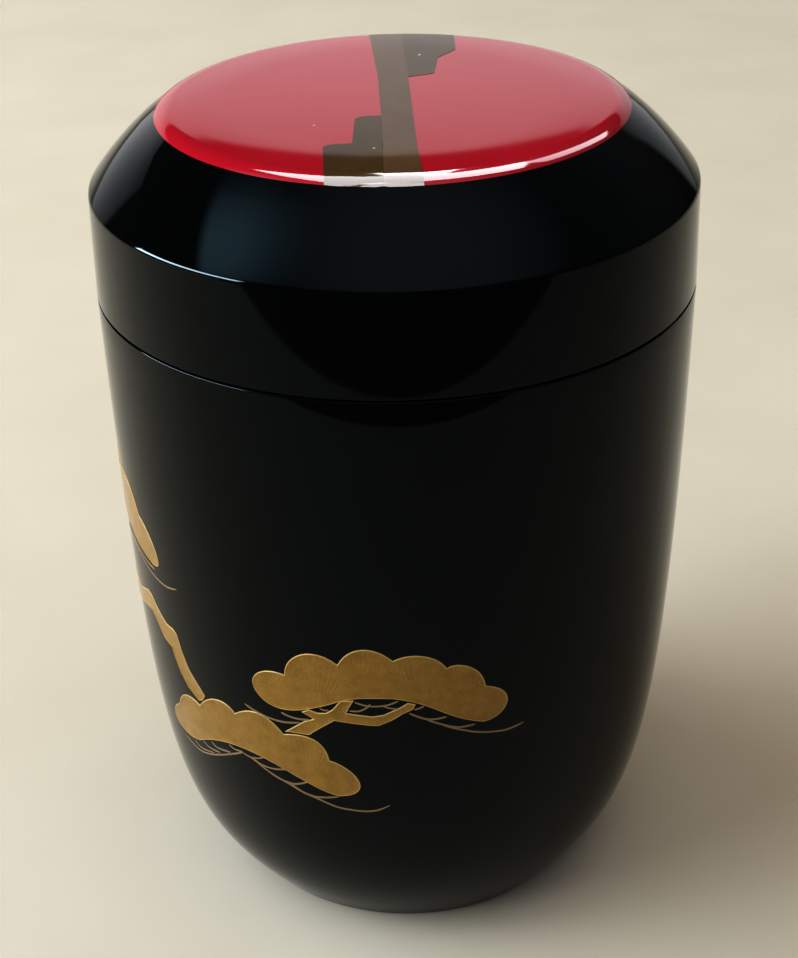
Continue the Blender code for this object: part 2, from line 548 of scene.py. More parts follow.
@dataclass
class Container:
    """The hollow turned body: a straight side that rounds in to a small foot, and a collar in its mouth."""

    turning: Turning = Turning()
    seam_radius: float = 0.03325
    ledge_height: float = 0.0761
    base_radius: float = 0.0226
    base_round: float = 0.0012
    foot_ring_width: float = 0.0032
    foot_recess: float = 0.0004
    side_lean: float = 0.0006
    side_reach: float = 0.857
    belly_rise: float = 0.0098
    belly_spread: float = 0.0070
    wall: float = 0.0030
    floor: float = 0.0042
    inside_round: float = 0.0060
    collar_radius: float = 0.03095
    collar_wall: float = 0.0016
    collar_height: float = 0.0084
    edge_round: float = 0.00014

    def side(self, steps: int) -> list[Vector]:
        """The outer side as a falling line, from the ledge under the lid down to the base.

        Args:
            steps: how many steps it has.

        Returns:
            The line's points.
        """
        top = Vector((self.seam_radius, self.ledge_height))
        upper = top - Vector((self.side_lean, self.side_reach * self.ledge_height))
        base = Vector((self.base_radius, 0.0))
        lower = base + Vector((self.belly_spread, self.belly_rise))
        return interpolate_bezier(top, upper, lower, base, steps + 1)

    def hollow(self) -> list[Vector]:
        """The hollow's line, from under the mouth down the wall and round to the middle of the floor.

        Returns:
            The line's points.
        """
        traced = self.side(self.turning.trace_steps)
        ball, step = crossing(set_in(traced, self.wall + self.inside_round), self.floor + self.inside_round)
        wall = set_in(traced, self.wall)
        stride = self.turning.trace_steps // self.turning.side_steps
        mouth_radius = self.collar_radius - self.collar_wall
        upright = wall[stride:step - stride // 2:stride]
        side = [Vector((min(point.x, mouth_radius), point.y)) for point in upright]
        corner = arc(ball, wall[step], ball - Vector((0, self.inside_round)), self.turning.round_steps)
        return [*side, *corner, Vector((0, self.floor))]

    def outline(self) -> list[Vector]:
        """The half section, from the middle of the underside, up the outside and down the inside.

        Returns:
            The half section's points.
        """
        recess_radius = self.base_radius - self.foot_ring_width
        mouth_radius = self.collar_radius - self.collar_wall
        collar_top = self.ledge_height + self.collar_height
        foot = [
            (Vector((0, self.foot_recess)), 0.0),
            (Vector((recess_radius - self.foot_recess, self.foot_recess)), 0.0),
            (Vector((recess_radius, 0)), 0.0),
            (Vector((self.base_radius, 0)), self.base_round),
        ]
        mouth = [
            (Vector((self.seam_radius, self.ledge_height)), self.edge_round),
            (Vector((self.collar_radius, self.ledge_height)), 0.0),
            (Vector((self.collar_radius, collar_top)), self.edge_round),
            (Vector((mouth_radius, collar_top)), self.edge_round),
            (Vector((mouth_radius, self.ledge_height)), 0.0),
        ]
        side = self.side(self.turning.side_steps)[1:-1]
        corners = [*foot, *plain(side[::-1]), *mouth, *plain(self.hollow())]
        return rounded(corners, self.turning.round_steps)

    def wrap(self, flat: Vector) -> Vector:
        """Carry a point from the flat drawing of the side to the side itself.

        Args:
            flat: how far round it is at the flat radius, its height, and how far it stands off the lacquer.

        Returns:
            Its place on the caddy.
        """
        line = self.side(self.turning.trace_steps)
        point, step = crossing(line, flat.y)
        along = (line[step] - line[min(step + 1, len(line) - 1)]).normalized()
        stood_off = point + Vector((along.y, -along.x)) * flat.z
        bearing = flat.x / FLAT_RADIUS
        return Vector((math.sin(bearing) * stood_off.x, -math.cos(bearing) * stood_off.x, stood_off.y))

    def build(self, material: bpy.types.Material) -> bpy.types.Object:
        """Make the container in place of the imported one.

        Args:
            material: its finish.

        Returns:
            The new piece.
        """
        piece = finish_piece("turned_container", self.turning.spin(self.outline()), material, Slot.BLACK)
        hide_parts("container")
        return piece


@dataclass
class Lid:
    """The hollow turned lid: a short side, a broad slope that swells a little, and a flat top."""

    turning: Turning = Turning()
    rim_radius: float = 0.03325
    rim_height: float = 0.0763
    shoulder_radius: float = 0.0330
    shoulder_height: float = 0.0874
    shoulder_round: float = 0.0009
    top_radius: float = 0.0245
    top_height: float = 0.0957
    top_round: float = 0.0032
    slope_swell: float = 0.0005
    bore: float = 0.03125
    top_wall: float = 0.0026
    inside_round: float = 0.0020
    edge_round: float = 0.00014
    crown_start: float = 0.018
    crown_drop: float = 0.00016
    crown_steps: int = 8
    crown_reach: float = 0.62
    crown_stride: float = 0.0006
    flat_start: float = 0.009
    rolled_steps: int = 3
    coat: float = 0.00003
    coat_sink: float = 0.00006
    coat_radius: float = 0.02535
    roll_start: float = 0.0227
    roll_stride: float = 0.00022
    roll_steps: int = 12

    def corner(self) -> Vector:
        """Where the top would meet the slope if its edge weren't rolled."""
        return Vector((self.top_radius, self.top_height - self.crown_drop))

    def flat_radii(self) -> list[float]:
        """Radii of the flat middle that keep its shading apart from the crown's."""
        return [self.flat_start, *(self.crown_start - self.crown_stride * step for step in (4, 2, 1))]

    def crown(self) -> list[Vector]:
        """The top's line from the middle to just short of its corner, which sinks a little on the way.

        Returns:
            The line's points.
        """
        width = self.top_radius - self.crown_start
        shares = [self.crown_reach * step / self.crown_steps for step in range(self.crown_steps + 1)]
        sunk = [
            Vector((self.crown_start + width * share, self.top_height - self.crown_drop * share * share))
            for share in shares
        ]
        flat = [Vector((radius, self.top_height)) for radius in (0.0, *self.flat_radii())]
        return [*flat, *sunk]

    def slope(self) -> list[Vector]:
        """The slope's points between the top's corner and the shoulder, without those two.

        Returns:
            The points between them.
        """
        start = self.corner()
        end = Vector((self.shoulder_radius, self.shoulder_height))
        across = (end - start).normalized()
        outward = Vector((-across.y, across.x))
        steps = self.turning.slope_steps
        shares = [step / steps for step in range(1, steps)]
        return [
            start.lerp(end, share) + outward * self.slope_swell * 4 * share * (1 - share)
            for share in shares
        ]

    def outside(self) -> list[tuple[Vector, float]]:
        """The corners of the outside, from the middle of the top to the shoulder.

        Returns:
            Each corner and the radius of its round.
        """
        shoulder = Vector((self.shoulder_radius, self.shoulder_height))
        return [
            *plain(self.crown()),
            (self.corner(), self.top_round),
            *plain(self.slope()[self.rolled_steps:]),
            (shoulder, self.shoulder_round),
        ]

    def outline(self) -> list[Vector]:
        """The half section, from the middle of the top, down the outside and up the inside.

        Returns:
            The half section's points.
        """
        ceiling = self.top_height - self.top_wall
        corner = Vector((self.top_radius, self.top_height))
        slope = (Vector((self.shoulder_radius, self.shoulder_height)) - corner).normalized()
        inner = corner + Vector((slope.y, -slope.x)) * self.top_wall
        ceiling_corner = inner + slope * ((ceiling - inner.y) / slope.y)
        inner_shoulder = inner + slope * ((self.bore - inner.x) / slope.x)
        corners = [
            *self.outside(),
            (Vector((self.rim_radius, self.rim_height)), self.edge_round),
            (Vector((self.bore, self.rim_height)), self.edge_round),
            (inner_shoulder, 0.0),
            (ceiling_corner, self.inside_round),
            (Vector((0, ceiling)), 0.0),
        ]
        return rounded(corners, self.turning.round_steps)

    def surface_at(self, radius: float) -> tuple[Vector, Vector]:
        """The outside at a radius: the point of the half section, and the way that it faces.

        Args:
            radius: how far out from the axis.

        Returns:
            The point, and the way that it faces.
        """
        line = rounded(self.outside(), self.turning.round_steps)
        for start, end in zip(line, line[1:]):
            if end.x >= radius:
                along = (end - start).normalized()
                return start.lerp(end, (radius - start.x) / (end.x - start.x)), Vector((-along.y, along.x))
        return line[-1], Vector((1, 0))

    def wrap(self, flat: Vector) -> Vector:
        """Carry a point from a flat drawing of the top, and its stand-off, to the top and its rolled edge.

        Args:
            flat: its place on the drawing, and how far it stands off the lacquer.

        Returns:
            Its place on the caddy.
        """
        radius = math.hypot(flat.x, flat.y)
        point, facing = self.surface_at(radius)
        stood_off = point + facing * flat.z
        scale = stood_off.x / radius if radius > 0 else 1.0
        return Vector((flat.x * scale, flat.y * scale, stood_off.y))

    def build(self, black: bpy.types.Material, red: bpy.types.Material) -> list[bpy.types.Object]:
        """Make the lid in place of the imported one, and the red coat on its top.

        Args:
            black: the lid's finish.
            red: the coat's finish.

        Returns:
            The lid and the coat.
        """
        piece = finish_piece("turned_lid", self.turning.spin(self.outline()), black, Slot.BLACK)
        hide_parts("lid")
        radii = [0.0, *self.flat_radii()]
        radii += [self.crown_start + self.crown_stride * step for step in range(self.crown_steps)]
        radii += [self.roll_start + self.roll_stride * step for step in range(self.roll_steps)]
        radii.append(self.coat_radius)
        upper = []
        lower = []
        for radius in radii:
            point, facing = self.surface_at(radius)
            thinned = self.coat if radius < self.coat_radius else 0.0
            upper.append(point + facing * thinned)
            lower.append(point - facing * self.coat_sink)
        coat = finish_piece("red_top", self.turning.spin([*upper, *reversed(lower)]), red, Slot.RED)
        return [piece, coat]


def cut_across(sheet: bmesh.types.BMesh, place: float, facing: Vector) -> None:
    """Part a flat sheet square to one way.

    Args:
        sheet: the sheet to part.
        place: how far along that way.
        facing: the way, as a unit vector.
    """
    geometry = [*sheet.verts, *sheet.edges, *sheet.faces]
    bmesh.ops.bisect_plane(
        sheet, geom=geometry, dist=CUT_DISTANCE, plane_co=facing * place, plane_no=facing
    )


@dataclass(frozen=True)
class Coat:
    """How a thin coat of gold stands on the lacquer, and how finely it is cut to follow the round."""

    lift: float = 0.05 * MM
    edge_lift: float = 0.03 * MM
    ridge_lift: float = 0.08 * MM
    sink: float = 0.03 * MM
    ridge_in: float = 0.09 * MM
    ridge_out: float = 0.07 * MM
    cell: float = 1.0 * MM

    def sheet(self, outline: list[Vector], cuts: list[float], ridged: bool) -> bmesh.types.BMesh:
        """Cut one shape from a flat sheet, with a fine ridge along its edge, and give it its thickness.

        Args:
            outline: the shape's outline in the flat drawing.
            cuts: where to part the sheet across, besides the even cells.
            ridged: whether the edge has a ridge.

        Returns:
            The closed flat shape, whose stand-off is its height.
        """
        sheet = bmesh.new()
        rim = sheet.verts.layers.float.new("rim")
        middle = sheet.faces.new([sheet.verts.new((point.x, point.y, self.lift)) for point in outline])
        if ridged:
            for thickness in (self.ridge_in, self.ridge_out):
                sheet.normal_update()
                bmesh.ops.inset_individual(sheet, faces=[middle], thickness=thickness, use_even_offset=True)
            # Mark the ridge, where the gold paints its highlight.
            inner = set(middle.verts)
            for vert in sheet.verts:
                if vert not in inner:
                    vert.co.z = self.edge_lift if vert.is_boundary else self.ridge_lift
                    vert[rim] = 1.0
        for axis in (0, 1):
            places = [vert.co[axis] for vert in sheet.verts]
            low = min(places)
            count = int((max(places) - low) / self.cell)
            planes = [low + self.cell * (step + 0.5) for step in range(count)]
            planes += cuts if axis == 0 else []
            facing = Vector((1, 0, 0)) if axis == 0 else Vector((0, 1, 0))
            for place in planes:
                cut_across(sheet, place, facing)
        top = list(sheet.faces)
        made = bmesh.ops.extrude_face_region(sheet, geom=top, use_keep_orig=True)
        for item in made["geom"]:
            if isinstance(item, bmesh.types.BMVert):
                item.co.z = -self.sink
        return sheet


def smooth_line(points: list[Vector], steps: int) -> list[Vector]:
    """A smooth line through points: each stretch is a curve whose pulls follow its neighbours.

    Args:
        points: the points to pass through.
        steps: how many steps each stretch has.

    Returns:
        The line's points.
    """
    line = [points[0]]
    for place in range(len(points) - 1):
        before = points[max(place - 1, 0)]
        start = points[place]
        end = points[place + 1]
        after = points[min(place + 2, len(points) - 1)]
        pull = (end - before) / 6
        push = (after - start) / 6
        line += interpolate_bezier(start, start + pull, end - push, end, steps + 1)[1:]
    return line


def on_flat(place: Pair) -> Vector:
    """A bearing in degrees and a height in millimetres as a point of the flat drawing."""
    return Vector((math.radians(place[0]) * FLAT_RADIUS, place[1] * MM))


@dataclass(frozen=True)
class Bough:
    """A cloud of pine needles: curves that meet in cusps along its top, and a smooth underside.

    Each curve is two pulls and its end, as bearings in degrees and heights in millimetres, and starts where
    the one before ends.
    """

    name: str
    start: Pair
    curves: tuple[tuple[Pair, Pair, Pair], ...]
    lobes: int
    steps: int = 12
    root_reach: float = 1.5 * MM
    root_drop: float = 1.6 * MM

    def outline(self) -> list[Vector]:
        """The whole outline in the flat drawing.

        Returns:
            The outline's points.
        """
        line = []
        here = on_flat(self.start)
        for pull, push, end in self.curves:
            line += interpolate_bezier(here, on_flat(pull), on_flat(push), on_flat(end), self.steps + 1)[:-1]
            here = on_flat(end)
        return line

    def cusps(self) -> list[float]:
        """How far round each cusp is."""
        return [on_flat(end).x for _, _, end in self.curves[: self.lobes - 1]]

    def sheet(self, coat: Coat) -> bmesh.types.BMesh:
        """The bough as a flat coat, with the fan of each lobe in its UV map, in millimetres from its root.

        Args:
            coat: how the coat stands and is cut.

        Returns:
            The closed flat shape.
        """
        outline = self.outline()
        cusps = self.cusps()
        shape = coat.sheet(outline, cusps, True)
        low = min(point.x for point in outline)
        high = max(point.x for point in outline)
        bounds = [low, *sorted(cusps), high]
        fan = shape.loops.layers.uv.new("fan")
        for face in shape.faces:
            middle = face.calc_center_median()
            place = sum(middle.x > bound for bound in bounds[1:-1])
            root_x = (bounds[place] + bounds[place + 1]) / 2
            near = [point.y for point in outline if abs(point.x - root_x) < self.root_reach]
            root_y = min(near) - self.root_drop
            for loop in face.loops:
                loop[fan].uv = ((loop.vert.co.x - root_x) / MM, (loop.vert.co.y - root_y) / MM)
        return shape


@dataclass(frozen=True)
class Branch:
    """A piece of branch with straight cut edges, as bearings in degrees and heights in millimetres."""

    name: str
    corners: tuple[Pair, ...]

    def sheet(self, coat: Coat) -> bmesh.types.BMesh:
        """The branch as a flat coat."""
        return coat.sheet([on_flat(corner) for corner in self.corners], [], True)


@dataclass(frozen=True)
class Stroke:
    """One brushed line, tapered at its ends: its course, and its width in millimetres at each end."""

    course: tuple[Pair, ...]
    width: float = 0.24
    end_width: float = 0.24
    taper: float = 0.12
    steps: int = 8
    ridged: bool = False
    tip: float = 0.3

    def outline(self) -> list[Vector]:
        """The line's two edges as one outline in the flat drawing.

        Returns:
            The outline's points.
        """
        line = smooth_line([on_flat(place) for place in self.course], self.steps)
        left = []
        right = []
        for place, point in enumerate(line):
            share = place / (len(line) - 1)
            ahead = line[min(place + 1, len(line) - 1)]
            behind = line[max(place - 1, 0)]
            along = (ahead - behind).normalized()
            width = (self.width + (self.end_width - self.width) * share) * MM
            fade = min(1.0, share / self.taper + self.tip, (1 - share) / self.taper + self.tip)
            side = Vector((-along.y, along.x)) * width * fade / 2
            left.append(point + side)
            right.append(point - side)
        return [*left, *reversed(right)]

    def sheet(self, coat: Coat) -> bmesh.types.BMesh:
        """The stroke as a flat coat."""
        return coat.sheet(self.outline(), [], self.ridged)


UPPER_BOUGH = Bough(
    "upper_bough",
    (-31.3, 39.8),
    (
        ((-30.8, 41.2), (-27.6, 42.3), (-23.9, 41.9)),
        ((-23.6, 44.8), (-17.7, 46.8), (-13.0, 44.5)),
        ((-10.9, 47.1), (-6.2, 47.6), (-2.6, 45.4)),
        ((1.0, 46.7), (5.8, 45.9), (7.4, 44.1)),
        ((9.2, 44.9), (14.3, 44.0), (14.9, 41.0)),
        ((22.2, 39.8), (19.7, 36.2), (14.7, 36.0)),
        ((6.0, 37.5), (5.1, 39.7), (-3.0, 40.3)),
        ((-13.6, 40.3), (-10.9, 39.6), (-21.0, 37.4)),
        ((-28.1, 35.9), (-31.7, 38.1), (-31.3, 39.8)),
    ),
    6,
)
LOWER_BOUGH = Bough(
    "lower_bough",
    (-57.2, 29.0),
    (
        ((-54.9, 31.8), (-51.3, 32.6), (-47.8, 31.9)),
        ((-44.2, 34.7), (-39.0, 35.4), (-36.9, 33.8)),
        ((-32.0, 36.2), (-28.0, 35.4), (-25.4, 33.3)),
        ((-20.3, 34.3), (-16.5, 33.8), (-15.9, 30.8)),
        ((-11.2, 30.4), (-5.8, 26.4), (-14.5, 25.5)),
        ((-19.2, 25.8), (-24.9, 28.1), (-31.6, 28.7)),
        ((-38.5, 29.2), (-44.0, 28.2), (-50.7, 25.6)),
        ((-58.2, 23.8), (-66.0, 25.5), (-57.2, 29.0)),
    ),
    5,
)
LEFT_BOUGH = Bough(
    "left_bough",
    (-112.0, 50.6),
    (
        ((-115.0, 53.4), (-108.0, 55.0), (-103.6, 54.0)),
        ((-102.5, 57.2), (-94.0, 58.9), (-89.4, 56.6)),
        ((-86.4, 58.4), (-80.8, 57.6), (-78.5, 55.2)),
        ((-75.5, 57.2), (-66.8, 57.8), (-62.9, 53.3)),
        ((-58.8, 53.2), (-52.0, 48.4), (-58.6, 48.2)),
        ((-62.5, 48.6), (-66.5, 48.8), (-73.0, 49.6)),
        ((-86.0, 53.0), (-92.0, 51.2), (-100.0, 49.6)),
        ((-105.0, 48.6), (-110.6, 48.4), (-112.0, 50.6)),
    ),
    5,
)
REAR_BOUGH = Bough(
    "rear_bough",
    (-168.0, 33.0),
    (
        ((-170.0, 36.4), (-163.0, 38.0), (-158.6, 36.8)),
        ((-156.0, 40.4), (-148.0, 40.8), (-144.4, 38.4)),
        ((-141.0, 40.8), (-134.0, 39.8), (-132.0, 36.6)),
        ((-126.0, 36.0), (-124.6, 32.0), (-131.0, 31.4)),
        ((-138.0, 31.6), (-142.0, 34.0), (-150.0, 33.4)),
        ((-157.0, 32.8), (-165.4, 29.4), (-168.0, 33.0)),
    ),
    4,
)
CROWN_BOUGH = Bough(
    "crown_bough",
    (-136.0, 62.2),
    (
        ((-138.4, 65.4), (-132.0, 66.8), (-128.0, 65.8)),
        ((-125.4, 69.0), (-117.0, 69.2), (-114.0, 66.8)),
        ((-110.4, 69.0), (-104.0, 67.6), (-102.6, 64.8)),
        ((-97.0, 64.2), (-96.0, 60.4), (-102.0, 60.2)),
        ((-109.0, 60.4), (-114.0, 62.6), (-121.0, 61.8)),
        ((-127.0, 61.2), (-134.0, 59.4), (-136.0, 62.2)),
    ),
    4,
)
BOUGHS = (UPPER_BOUGH, LOWER_BOUGH, LEFT_BOUGH, REAR_BOUGH, CROWN_BOUGH)

UPPER_BRANCH = Branch(
    "upper_branch",
    (
        (-25.0, 33.75), (-20.6, 35.9), (-18.6, 36.5), (-20.9, 37.2), (-19.4, 37.75), (-17.6, 37.5),
        (-15.9, 37.65), (-14.5, 38.3), (-13.4, 39.2), (-12.8, 39.65), (-10.2, 39.85), (-11.2, 38.8),
        (-11.8, 38.0), (-6.7, 37.8), (-4.6, 38.1), (-3.1, 38.6), (-1.3, 39.2), (0.0, 39.75), (1.5, 39.5),
        (0.9, 38.8), (-1.0, 38.2), (-2.8, 37.4), (-5.7, 36.5), (-7.8, 36.5), (-14.3, 36.7), (-16.7, 35.6),
        (-18.7, 34.6), (-19.7, 34.05), (-22.8, 33.9),
    ),
)
LEFT_BRANCH = Branch(
    "left_branch",
    (
        (-104.6, 31.0), (-98.0, 33.8), (-90.0, 35.6), (-82.0, 37.3), (-73.6, 38.7), (-66.9, 39.9),
        (-63.5, 40.4), (-61.5, 39.7), (-59.8, 38.8), (-58.5, 38.1), (-55.5, 37.8), (-55.0, 36.7),
        (-53.3, 34.9), (-51.2, 33.5), (-47.8, 32.5), (-46.4, 33.0), (-45.4, 33.9), (-47.0, 34.9),
        (-49.5, 36.3), (-51.2, 38.2), (-52.1, 39.8), (-52.5, 40.5), (-53.9, 40.9), (-56.4, 40.8),
        (-58.5, 41.4), (-60.5, 42.1), (-62.4, 42.9), (-64.4, 43.0), (-67.4, 42.2), (-71.4, 41.2),
        (-75.0, 41.6), (-79.0, 41.0), (-86.0, 39.6), (-93.0, 37.8), (-101.0, 35.4),
    ),
)
TRUNK = Stroke(
    (
        (-131.0, 3.0), (-127.0, 9.0), (-121.0, 14.0), (-118.0, 20.0), (-112.0, 26.0), (-105.0, 32.0),
        (-103.0, 38.0), (-107.0, 45.0), (-106.0, 52.0), (-112.0, 59.0),
    ),
    3.2,
    1.2,
    0.02,
    ridged=True,
)
LEFT_LIMB = Stroke(
    ((-105.4, 40.4), (-98.0, 44.0), (-93.0, 46.6), (-90.0, 51.0)), 1.2, 0.8, 0.03, ridged=True
)
REAR_LIMB = Stroke(
    ((-118.6, 19.0), (-127.0, 23.0), (-135.0, 27.6), (-141.0, 32.0)), 1.5, 0.9, 0.03, ridged=True
)
LIMBS = {"trunk": TRUNK, "left_limb": LEFT_LIMB, "rear_limb": REAR_LIMB}

NEEDLES = {
    "upper_needles": (
        Stroke(((-34.0, 35.9), (-31.2, 35.4), (-28.2, 35.1), (-24.9, 35.1), (-21.3, 35.6))),
        Stroke(((-25.4, 36.4), (-23.2, 36.1), (-21.2, 36.1), (-19.4, 36.3))),
        Stroke(((-17.1, 38.2), (-16.2, 38.0), (-15.3, 38.1)), 0.2, 0.2),
        Stroke(((-11.3, 38.35), (-9.5, 38.4), (-8.0, 38.9), (-7.1, 39.5)), 0.2, 0.2),
        Stroke(((-10.1, 39.6), (-8.3, 39.3), (-6.6, 39.2), (-4.1, 39.4), (-1.8, 40.0)), 0.2, 0.2),
        Stroke(((-4.8, 39.3), (-3.1, 39.0), (-1.0, 38.9)), 0.2, 0.2),
        Stroke(((1.1, 38.8), (2.0, 38.9), (3.0, 39.2)), 0.2, 0.2),
        Stroke(((0.2, 38.3), (1.8, 37.8), (3.5, 37.4), (5.3, 37.3), (7.4, 37.5))),
        Stroke(((3.5, 37.3), (6.0, 36.6), (8.5, 36.0), (10.3, 35.8), (13.0, 35.9))),
        Stroke(((6.7, 36.3), (10.3, 35.4), (13.6, 34.7), (17.1, 34.3), (19.8, 34.2), (23.1, 34.6))),
    ),
    "lower_needles": (
        Stroke(((-57.6, 24.2), (-52.0, 23.8), (-47.7, 24.5), (-43.2, 25.8), (-38.7, 27.3), (-36.4, 28.1))),
        Stroke(((-52.6, 24.9), (-50.4, 24.5), (-45.7, 25.3)), 0.2, 0.2),
        Stroke(((-49.1, 26.1), (-47.1, 25.7), (-43.5, 26.0)), 0.2, 0.2),
        Stroke(((-45.9, 27.0), (-44.1, 26.6), (-40.0, 27.1)), 0.2, 0.2),
        Stroke(((-40.1, 28.3), (-38.5, 28.0), (-36.4, 28.2)), 0.2, 0.2),
        Stroke(((-36.4, 28.1), (-34.5, 27.9), (-32.5, 28.2), (-30.9, 28.7)), 0.2, 0.2),
        Stroke(((-33.4, 27.8), (-31.6, 27.4), (-29.4, 27.4), (-27.6, 27.6), (-25.2, 28.1))),
        Stroke(((-30.3, 26.8), (-27.9, 26.2), (-25.5, 26.0), (-23.7, 26.1), (-21.2, 26.8))),
        Stroke(((-25.1, 26.0), (-23.2, 25.3), (-21.2, 24.9), (-19.3, 24.8), (-17.3, 25.0), (-14.7, 25.4))),
        Stroke((
            (-36.4, 28.1), (-33.4, 27.7), (-30.3, 26.8), (-25.5, 25.8), (-22.2, 25.0), (-19.6, 24.6),
            (-17.1, 24.1), (-14.6, 23.7), (-12.1, 23.6), (-9.2, 23.6), (-6.7, 23.9), (-4.2, 24.7),
        )),
    ),
    "left_needles": (
        Stroke(((-58.2, 47.7), (-61.4, 47.7), (-66.0, 48.0), (-73.0, 48.9))),
        Stroke((
            (-75.0, 48.6), (-69.0, 48.0), (-63.7, 47.2), (-59.7, 46.7), (-55.8, 46.6), (-53.0, 46.8),
            (-50.0, 47.4),
        )),
        Stroke(((-80.0, 52.0), (-84.0, 50.4), (-89.0, 49.8))),
        Stroke(((-96.0, 49.4), (-101.0, 47.6), (-107.0, 46.8), (-114.0, 47.4))),
    ),
    "rear_needles": (
        Stroke(((-131.0, 30.6), (-136.0, 30.4), (-140.0, 32.4))),
        Stroke(((-127.0, 30.2), (-133.0, 29.2), (-138.0, 29.8))),
        Stroke(((-143.0, 32.6), (-149.0, 31.0), (-156.0, 31.6))),
        Stroke(((-147.0, 31.6), (-156.0, 29.6), (-164.0, 29.2), (-172.0, 30.6))),
        Stroke(((-104.0, 59.6), (-109.0, 59.0), (-113.0, 61.0))),
        Stroke(((-114.0, 61.4), (-120.0, 59.6), (-127.0, 60.0))),
        Stroke(((-119.0, 60.2), (-127.0, 58.4), (-134.0, 58.2), (-140.0, 59.4))),
    ),
}


@dataclass
class Pine:
    """The painted pine: boughs, branches and needles in gold on the container's side."""

    container: Container
    coat: Coat = Coat()

    def lay(
        self, name: str, sheets: list[bmesh.types.BMesh], material: bpy.types.Material
    ) -> bpy.types.Object:
        """Wrap flat coats on the side as one piece.

        Args:
            name: the piece's name.
            sheets: the flat coats, which are used up.
            material: its finish.

        Returns:
            The new piece.
        """
        joined = bmesh.new()
        for sheet in sheets:
            for vert in sheet.verts:
                vert.co = self.container.wrap(vert.co)
            part = bpy.data.meshes.new(name)
            sheet.to_mesh(part)
            sheet.free()
            joined.from_mesh(part)
            bpy.data.meshes.remove(part)
        return finish_piece(name, joined, material, Slot.GOLD)

    def build(
        self, gold: bpy.types.Material, plain_gold: bpy.types.Material, lines: bpy.types.Material
    ) -> None:
        """Make every bough, branch and tuft of needles.

        Args:
            gold: the engraved finish of the boughs.
            plain_gold: the finish of the branches and the trunk.
            lines: the finish of the needles.
        """
        for bough in BOUGHS:
            self.lay(bough.name, [bough.sheet(self.coat)], gold)
        for branch in (UPPER_BRANCH, LEFT_BRANCH):
            self.lay(branch.name, [branch.sheet(self.coat)], plain_gold)
        for name, limb in LIMBS.items():
            self.lay(name, [limb.sheet(self.coat)], plain_gold)
        for name, strokes in NEEDLES.items():
            self.lay(name, [stroke.sheet(self.coat) for stroke in strokes], lines)


@dataclass(frozen=True)
class BandPatch:
    """One patch of the band across the top, as corners in millimetres with a round in each."""

    name: str
    left: tuple[Triple, ...]
    right: tuple[Triple, ...]
    back: bool
    front: bool


STRIP = BandPatch(
    "band_strip",
    ((-2.6, 25.3, 0.0), (-1.5, 6.7, 0.0), (-1.2, -6.8, 0.0), (-1.0, -25.3, 0.0)),
    ((1.3, 25.3, 0.0), (1.8, 6.4, 0.0), (2.1, -7.0, 0.0), (2.3, -16.9, 0.0), (2.8, -25.3, 0.0)),
    True,
    True,
)
FRONT_STEPS = BandPatch(
    "band_front_steps",
    ((-1.3, -6.8, 0.0), (-3.9, -6.9, 1.5), (-4.1, -15.2, 0.3), (-7.0, -15.4, 1.1), (-6.9, -25.3, 0.0)),
    ((-1.2, -6.9, 0.0), (-1.05, -16.0, 0.0), (-1.0, -25.3, 0.0)),
    False,
    True,
)
BACK_STEPS = BandPatch(
    "band_back_steps",
    ((1.3, 25.3, 0.0), (1.55, 16.0, 0.0), (1.8, 6.4, 0.0)),
    ((7.8, 25.3, 0.0), (7.4, 16.3, 0.6), (5.3, 13.3, 0.8), (4.7, 7.4, 0.6), (1.9, 6.3, 0.0)),
    True,
    False,
)


@dataclass
class Band:
    """The band of brownish gold across the red top, over the rolled edge at both ends."""

    lid: Lid
    coat: Coat = Coat(lift=0.06 * MM, sink=0.02 * MM, cell=1.5 * MM)
    reach: float = 0.0254
    corner_steps: int = 6
    edge_steps: int = 8
    edge_cuts: int = 12
    cut_start: float = 0.0217
    cut_stride: float = 0.0003

    def outline(self, patch: BandPatch) -> list[Vector]:
        """The patch's outline, whose ends follow the edge of the red.

        Args:
            patch: the patch to draw.

        Returns:
            The outline's points.
        """
        sides = []
        for side in (patch.left, patch.right):
            corners = [(Vector((x * MM, y * MM)), r * MM) for x, y, r in side]
            line = rounded(corners, self.corner_steps)
            sides.append([self.pulled_in(point) for point in line])
        left, right = sides
        front = self.along_edge(left[-1], right[-1]) if patch.front else []
        back = self.along_edge(right[0], left[0]) if patch.back else []
        return [*left, *front, *reversed(right), *back]

    def pulled_in(self, point: Vector) -> Vector:
        """A point no further out than the edge of the red."""
        return point * min(1.0, self.reach / max(point.length, MM))

    def along_edge(self, start: Vector, end: Vector) -> list[Vector]:
        """Points between two others along the edge of the red, without those two.

        Args:
            start: the point before them.
            end: the point after them.

        Returns:
            The points between them.
        """
        first = start.normalized()
        last = end.normalized()
        steps = self.edge_steps
        return [first.slerp(last, step / steps) * self.reach for step in range(1, steps)]

    def lay(self, patch: BandPatch, material: bpy.types.Material) -> bpy.types.Object:
        """Make one patch as a thin coat on the top.

        Args:
            patch: the patch to make.
            material: its finish.

        Returns:
            The new piece.
        """
        sheet = self.coat.sheet(self.outline(patch), [], False)
        facing = Vector((0, 1, 0))
        for step in range(self.edge_cuts):
            for way in (-1, 1):
                cut_across(sheet, way * (self.cut_start + self.cut_stride * step), facing)
        for vert in sheet.verts:
            vert.co = self.lid.wrap(vert.co)
        return finish_piece(patch.name, sheet, material, Slot.GOLD)

    def build(self, strip: bpy.types.Material, steps: bpy.types.Material) -> None:
        """Make the three patches.

        Args:
            strip: the strip's finish.
            steps: the finish of the stepped patches.
        """
        self.lay(STRIP, strip)
        self.lay(FRONT_STEPS, steps)
        self.lay(BACK_STEPS, steps)


